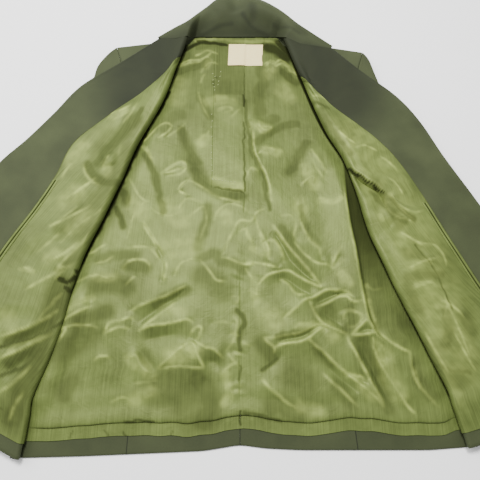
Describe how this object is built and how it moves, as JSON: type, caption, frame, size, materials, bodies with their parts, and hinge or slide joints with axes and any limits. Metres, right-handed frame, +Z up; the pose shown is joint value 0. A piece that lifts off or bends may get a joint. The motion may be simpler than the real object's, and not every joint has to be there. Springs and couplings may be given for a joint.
{
  "type": "blazer",
  "caption": "Lined blazer lying open on its back, lining up: fronts turned outward with facings and lapels, collar spread, pleated back lining, turned-up hem.",
  "frame": {"origin": "middle of the garment's bounding box, at the level of its underside, which lies on the table", "axes": "+X towards the wearer's left side, +Y from the hem to the collar, +Z up from the table towards the lining"},
  "size_m": [1.0202, 0.7122, 0.0322],
  "materials": {
    "outer_cloth": "matte smooth suiting",
    "lining_satin": "satin lining with a soft sheen",
    "label_cream": "matte woven tape",
    "button_plastic": "satin plastic"
  },
  "bodies": {
    "root": {"back_left": "outer_cloth", "back_right": "outer_cloth", "side_back_left": "outer_cloth", "side_back_right": "outer_cloth", "front_left": "outer_cloth", "front_right": "outer_cloth", "facing_left": "outer_cloth", "facing_right": "outer_cloth", "sleeve_left": "outer_cloth", "sleeve_right": "outer_cloth", "collar_upper": "outer_cloth", "collar_under": "outer_cloth", "back_lining_left": "lining_satin", "back_lining_right": "lining_satin", "front_lining_left": "lining_satin", "front_lining_right": "lining_satin", "welt_left": "lining_satin", "welt_right": "lining_satin", "label": "label_cream", "button_upper": "button_plastic", "button_lower": "button_plastic"}
  },
  "joints": []
}
